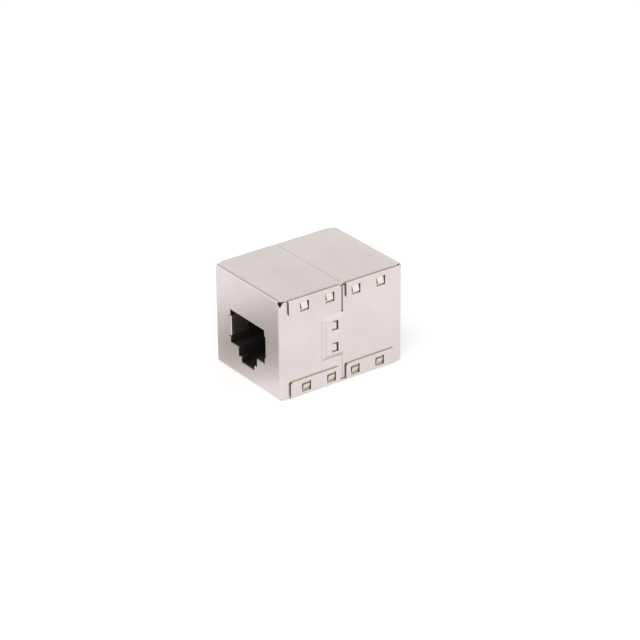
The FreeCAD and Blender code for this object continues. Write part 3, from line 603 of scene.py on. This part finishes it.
@dataclass(frozen=True)
class SpringPlating(Finish):
    """Gold over nickel on the spring wires, with plain tinned tails near the board."""

    tinned: Colour = (0.72, 0.71, 0.69)
    tail_start: float = 0.0048  # from the board's middle to where the tin stops
    tail_fade: float = 0.0006
    lines: Mottle = Mottle(1.0, stretch=(300.0, 6000.0, 6000.0))
    relief: Relief = Relief(0.1, 0.00002)
    gloss_change: float = 0.12

    def surface(self, graph: Graph) -> dict[str, Any]:
        """Adds the change from gold to tin and the marks of drawing the wire.

        Args:
            graph: The material's graph.

        Returns:
            The shader's inputs by name.
        """
        place = graph.place()
        distance = abs(graph.part(place, Axis.ALONG))
        gold = distance.between((self.tail_start, self.tail_start + self.tail_fade))
        lines = graph.noise(place, self.lines)
        return {
            "Base Color": graph.blend(gold, self.tinned, self.colour),
            "Metallic": 1.0,
            "Roughness": lines * self.gloss_change + (self.roughness - self.gloss_change / 2.0),
            "Normal": graph.bumps(lines, self.relief),
        }


@dataclass(frozen=True)
class BoardLaminate(Finish):
    """Green solder mask over woven glass, with tan cut edges."""

    core: Colour = (0.42, 0.36, 0.2)
    core_roughness: float = 0.75
    weave: float = 1300.0  # threads to the metre
    paler_by: float = 1.5
    face_on: float = 0.5  # what is more square than this to the coupler's length has mask on it
    relief: Relief = Relief(0.1, 0.00002)

    def surface(self, graph: Graph) -> dict[str, Any]:
        """Adds the weave under the mask and the bare core at the board's edges.

        Args:
            graph: The material's graph.

        Returns:
            The shader's inputs by name.
        """
        waves = {"Vector": graph.place(), "Scale": self.weave}
        across, upright = (
            graph.out("ShaderNodeTexWave", {"bands_direction": direction}, waves) for direction in "YZ"
        )
        woven = across * upright
        face = abs(graph.part(graph.facing(), Axis.ALONG)) > self.face_on
        paler = tuple(channel * self.paler_by for channel in self.colour)
        return {
            "Base Color": graph.blend(face, self.core, graph.blend(woven, self.colour, paler)),
            "Roughness": self.core_roughness - face * (self.core_roughness - self.roughness),
            "Normal": graph.bumps(woven, self.relief),
        }


NICKEL = PlatedSheet("satin_nickel", (0.835, 0.775, 0.765), 0.3)
JACK_BLACK = FoiledPlastic("jack_black", (0.022, 0.02, 0.019), 0.42)
CARRIER_GREY = MouldedPlastic("carrier_grey", (0.05, 0.05, 0.054), 0.5)
SPRING_GOLD = SpringPlating("spring_gold", (0.92, 0.66, 0.3), 0.25)
BOARD_GREEN = BoardLaminate("board_green", (0.012, 0.13, 0.045), 0.35)
FINISHES = (NICKEL, JACK_BLACK, CARRIER_GREY, SPRING_GOLD, BOARD_GREEN)
materials: dict[Finish, bpy.types.Material] = {}


def dress(name: str, finish: Finish) -> None:
    """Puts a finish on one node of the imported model.

    Args:
        name: The node's name.
        finish: Its finish.
    """
    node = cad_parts[name]
    if not node.material_slots:
        node.data.materials.append(materials[finish])
    for slot in node.material_slots:
        slot.material = materials[finish]


def linked(name: str, data: Any) -> bpy.types.Object:
    """Makes an object of a mesh, lamp or camera and links it to the scene.

    Args:
        name: The object's name.
        data: What it shows.

    Returns:
        The object.
    """
    piece = bpy.data.objects.new(name, data)
    bpy.context.scene.collection.objects.link(piece)
    return piece


def box_piece(name: str, boxes: list[tuple[Sequence[float], Sequence[float]]]) -> bpy.types.Object:
    """Builds one object out of upright boxes.

    Args:
        name: The object's name.
        boxes: Two opposite corners of each box.

    Returns:
        The object, linked to the scene.
    """
    mesh = bmesh.new()
    for first, last in boxes:
        low, high = (Vector(map(choose, first, last)) for choose in (min, max))
        middle, size = (low + high) / 2.0, high - low
        matrix = Matrix.Translation(middle) @ Matrix.Diagonal((*size, 1.0))
        bmesh.ops.create_cube(mesh, size=1.0, matrix=matrix)
    data = bpy.data.meshes.new(name)
    mesh.to_mesh(data)
    mesh.free()
    return linked(name, data)


@dataclass
class ShieldHalf:
    """One folded shell of the shield."""

    half: Half

    def build(self) -> None:
        """Dresses the shell in plating."""
        dress(f"shell_{self.half.value}", NICKEL)
        log.info("shell %s dressed", self.half.value)


@dataclass
class LatchShoulders:
    """The sheet that stands close behind the free ends of one shell's lanced tabs."""

    half: Half
    face: float = 0.01155  # from the middle to a side panel's outer face
    sheet: float = 0.0003
    half_width: float = 0.00085
    height: float = 0.0003
    pitch: float = 0.00625
    windows: int = 2

    # The first window's distance from the coupler's middle and the shoulder's foot, for each row of flaps.
    rows: tuple[tuple[float, float], ...] = ((0.00325, 0.0191), (0.003, 0.0023))

    def build(self) -> None:
        """Adds the shoulders of every tab as one plated piece."""
        way = -1.0 if self.half is Half.A else 1.0
        boxes = []
        for first, foot in self.rows:
            for index in range(self.windows):
                middle = way * (first + index * self.pitch)
                for side in (-1.0, 1.0):
                    low = (middle - self.half_width, side * (self.face - self.sheet), foot)
                    high = (middle + self.half_width, side * self.face, foot + self.height)
                    boxes.append((low, high))
        piece = box_piece(f"latch_shoulders_{self.half.value}", boxes)
        piece.data.materials.append(materials[NICKEL])
        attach(piece, "root")
        log.info("%d latch shoulders of shell %s added", len(boxes), self.half.value)


@dataclass
class JackHalf:
    """One jack: its housing, its contact carrier and the contacts."""

    half: Half
    contacts: int = 8

    def build(self) -> None:
        """Dresses the jack's pieces."""
        name = self.half.value
        dress(f"housing_{name}", JACK_BLACK)
        dress(f"carrier_{name}", CARRIER_GREY)
        for index in range(1, self.contacts + 1):
            dress(f"contact_{name}_{index}", SPRING_GOLD)
        log.info("jack %s dressed", name)


@dataclass
class JoiningBoard:
    """The circuit board between the two jacks."""

    def build(self) -> None:
        """Dresses the board."""
        dress("circuit_board", BOARD_GREEN)
        log.info("board dressed")


def direction(azimuth: float, elevation: float) -> Vector:
    """The way from the object to a viewer.

    Args:
        azimuth: Degrees round from a view along +Y.
        elevation: Degrees above the horizon.

    Returns:
        A unit vector.
    """
    a, e = math.radians(azimuth), math.radians(elevation)
    return Vector((math.sin(a) * math.cos(e), -math.cos(a) * math.cos(e), math.sin(e)))


@dataclass
class Lamp:
    """A soft box that points at the coupler."""

    name: str
    azimuth: float
    elevation: float
    distance: float
    size: float
    power: float

    def build(self, target: Vector) -> None:
        """Adds the lamp.

        Args:
            target: The point that it shines at.
        """
        data = bpy.data.lights.new(self.name, "AREA")
        data.shape = "SQUARE"
        data.size = self.size
        data.energy = self.power
        lamp = linked(self.name, data)
        back = direction(self.azimuth, self.elevation)
        lamp.location = target + back * self.distance
        lamp.rotation_euler = back.to_track_quat("Z", "Y").to_euler()
        lamp.visible_glossy = False


@dataclass
class Viewpoint:
    """The camera, where the photograph was taken from."""

    azimuth: float = -35.84
    elevation: float = 26.58
    roll: float = -0.56
    distance: float = 0.5
    aim: Triple = (0.002836, 0.0, 0.008283)
    lens: float = 136.27
    sensor: float = 36.0
    clip_start: float = 0.01
    clip_end: float = 20.0

    def build(self) -> None:
        """Stands the camera and makes it the scene's."""
        data = bpy.data.cameras.new("camera")
        data.lens = self.lens
        data.sensor_width = self.sensor
        data.clip_start = self.clip_start
        data.clip_end = self.clip_end
        camera = linked("camera", data)
        back = direction(self.azimuth, self.elevation)
        round_by, turn = math.radians(self.azimuth), math.radians(self.roll)
        level = Vector((math.cos(round_by), math.sin(round_by), 0.0))
        upright = back.cross(level)
        right = level * math.cos(turn) + upright * math.sin(turn)
        up = upright * math.cos(turn) - level * math.sin(turn)
        axes = Matrix((right, up, back)).transposed().to_4x4()
        camera.matrix_world = Matrix.Translation(Vector(self.aim) + back * self.distance) @ axes
        bpy.context.scene.camera = camera


@dataclass(frozen=True)
class Walls:
    """What the metal mirrors of the room: pale walls under a dim ceiling.

    The heights say how steeply a ray rises, from nought for a level one to one straight up.
    """

    horizon: Colour = (1.03, 1.01, 0.99)
    low_wall: Colour = (1.14, 1.12, 1.1)
    wall: Colour = (0.545, 0.56, 0.553)
    ceiling: Colour = (0.46, 0.42, 0.38)
    horizon_top: float = 0.2
    low_wall_span: Span = (0.34, 0.36)
    wall_span: Span = (0.44, 0.52)
    ceiling_foot: float = 0.64
    strength: float = 1.16

    def shade(self, graph: Graph) -> Signal:
        """The walls' colour for each direction.

        Args:
            graph: The world's graph.

        Returns:
            The colour.
        """
        stops = [(self.horizon_top, self.horizon)]
        stops += [(height, self.low_wall) for height in self.low_wall_span]
        stops += [(height, self.wall) for height in self.wall_span]
        stops.append((self.ceiling_foot, self.ceiling))
        rise = graph.part(graph.out("ShaderNodeTexCoord", {}, {}, "Generated"), Axis.UP)
        return graph.out("ShaderNodeValToRGB", {"stops": stops}, {0: rise})


@dataclass
class Room:
    """The room round the table: soft light, white to the camera, and walls that metal mirrors."""

    ambient: float = 0.62  # strength of the soft light on what doesn't mirror
    walls: Walls = Walls()

    def build(self) -> None:
        """Makes the world."""
        world = bpy.data.worlds.new("surroundings")
        bpy.context.scene.world = world
        graph = Graph(world)
        soft = self.light(graph, WHITE, self.ambient)
        walls = self.light(graph, self.walls.shade(graph), self.walls.strength)
        white = self.light(graph, WHITE, 1.0)
        mirrored = graph.mixed(graph.ray(Ray.MIRRORED), soft, walls)
        seen = graph.mixed(graph.ray(Ray.CAMERA), mirrored, white)
        graph.node("ShaderNodeOutputWorld", {}, {"Surface": seen})

    def light(self, graph: Graph, colour: Any, strength: float) -> Signal:
        """Light from all round.

        Args:
            graph: The world's graph.
            colour: Its colour, or a signal that gives it.
            strength: How bright it is.

        Returns:
            The light's shader.
        """
        inputs = {"Color": with_alpha(colour), "Strength": strength}
        return graph.out("ShaderNodeBackground", {}, inputs)


@dataclass(frozen=True)
class PaintedFloorShade:
    """Painted shade: a dim patch on the floor by port A, which only the metal mirrors, so that it shows on
    the end plate as a painted reflection.
    """

    colour: Colour = (0.5, 0.45, 0.43)
    middle: Triple = (-0.032, 0.013, 0.0)
    size: Triple = (0.019, 0.017, 1.0)
    fade: Span = (0.5, 1.3)

    def cover(self, graph: Graph) -> Signal:
        """How far the painted shade covers a place.

        Args:
            graph: The floor's graph.

        Returns:
            One in the painted shade, falling softly to nought round it.
        """
        inputs = {0: graph.place(), 1: self.middle}
        offset = graph.out("ShaderNodeVectorMath", {"operation": "SUBTRACT"}, inputs)
        scaled = graph.scaled(offset, tuple(1.0 / size for size in self.size))
        distance = graph.out("ShaderNodeVectorMath", {"operation": "LENGTH"}, {0: scaled}, "Value")
        return 1.0 - distance.between(self.fade)


@dataclass
class Floor:
    """The pale floor, which glows a little for the camera and more for the metal, with a patch of painted
    shade that only the metal mirrors.
    """

    colour: Colour = (0.94, 0.94, 0.94)
    glow: float = 0.3
    mirrored: Colour = (0.4, 0.4, 0.4)
    mirrored_glow: float = 0.6
    reflected_shade: PaintedFloorShade = PaintedFloorShade()
    half: float = 3.0  # half its width
    gap: float = 0.00002  # below the table's height, so that the two never share a plane

    def build(self) -> None:
        """Lays the floor just under the coupler."""
        mesh = bpy.data.meshes.new("floor")
        r, z = self.half, -self.gap
        mesh.from_pydata([(-r, -r, z), (r, -r, z), (r, r, z), (-r, r, z)], [], [(0, 1, 2, 3)])
        floor = linked("floor", mesh)
        floor.data.materials.append(self.material())

    def material(self) -> bpy.types.Material:
        """Builds the floor's finish.

        Returns:
            The material.
        """
        material = bpy.data.materials.new("pale_floor")
        graph = Graph(material)
        mirrored = graph.ray(Ray.MIRRORED)
        # Painted shade: the patch darkens what the metal mirrors of the floor by port A.
        shade = mirrored * self.reflected_shade.cover(graph)
        tint = graph.blend(shade, WHITE, self.reflected_shade.colour)
        dim = tuple(floor * reflected_shade for floor, reflected_shade in zip(self.mirrored, self.reflected_shade.colour))
        tone = graph.blend(shade, graph.blend(mirrored, self.colour, self.mirrored), dim)
        shine = graph.ray(Ray.CAMERA) * self.glow + mirrored * self.mirrored_glow
        matt = graph.out("ShaderNodeBsdfDiffuse", {}, {"Color": tone})
        light = graph.out("ShaderNodeEmission", {}, {"Color": tint, "Strength": shine})
        both = graph.out("ShaderNodeAddShader", {}, {0: matt, 1: light})
        graph.node("ShaderNodeOutputMaterial", {}, {"Surface": both})
        return material


@dataclass
class Studio:
    """The camera, the room, the floor and the lamps."""

    viewpoint: Viewpoint = field(default_factory=Viewpoint)
    room: Room = field(default_factory=Room)
    floor: Floor = field(default_factory=Floor)
    lamps: tuple[Lamp, ...] = (
        Lamp("key", azimuth=-75.0, elevation=50.0, distance=0.6, size=0.5, power=1.1),
        Lamp("fill", azimuth=20.0, elevation=35.0, distance=0.7, size=0.6, power=1.0),
    )

    def build(self) -> None:
        """Sets up the whole studio."""
        self.viewpoint.build()
        self.room.build()
        self.floor.build()
        for lamp in self.lamps:
            lamp.build(Vector(self.viewpoint.aim))
        bpy.context.scene.view_settings.view_transform = "Standard"
        log.info("studio built")


def main() -> None:
    """Builds the finishes, the studio and both halves of the coupler."""
    logging.basicConfig(level=logging.INFO)
    for finish in FINISHES:
        materials[finish] = finish.material()
    Studio().build()
    for half in Half:
        ShieldHalf(half).build()
        LatchShoulders(half).build()
        JackHalf(half).build()
    JoiningBoard().build()


if __name__ == "__main__":
    main()
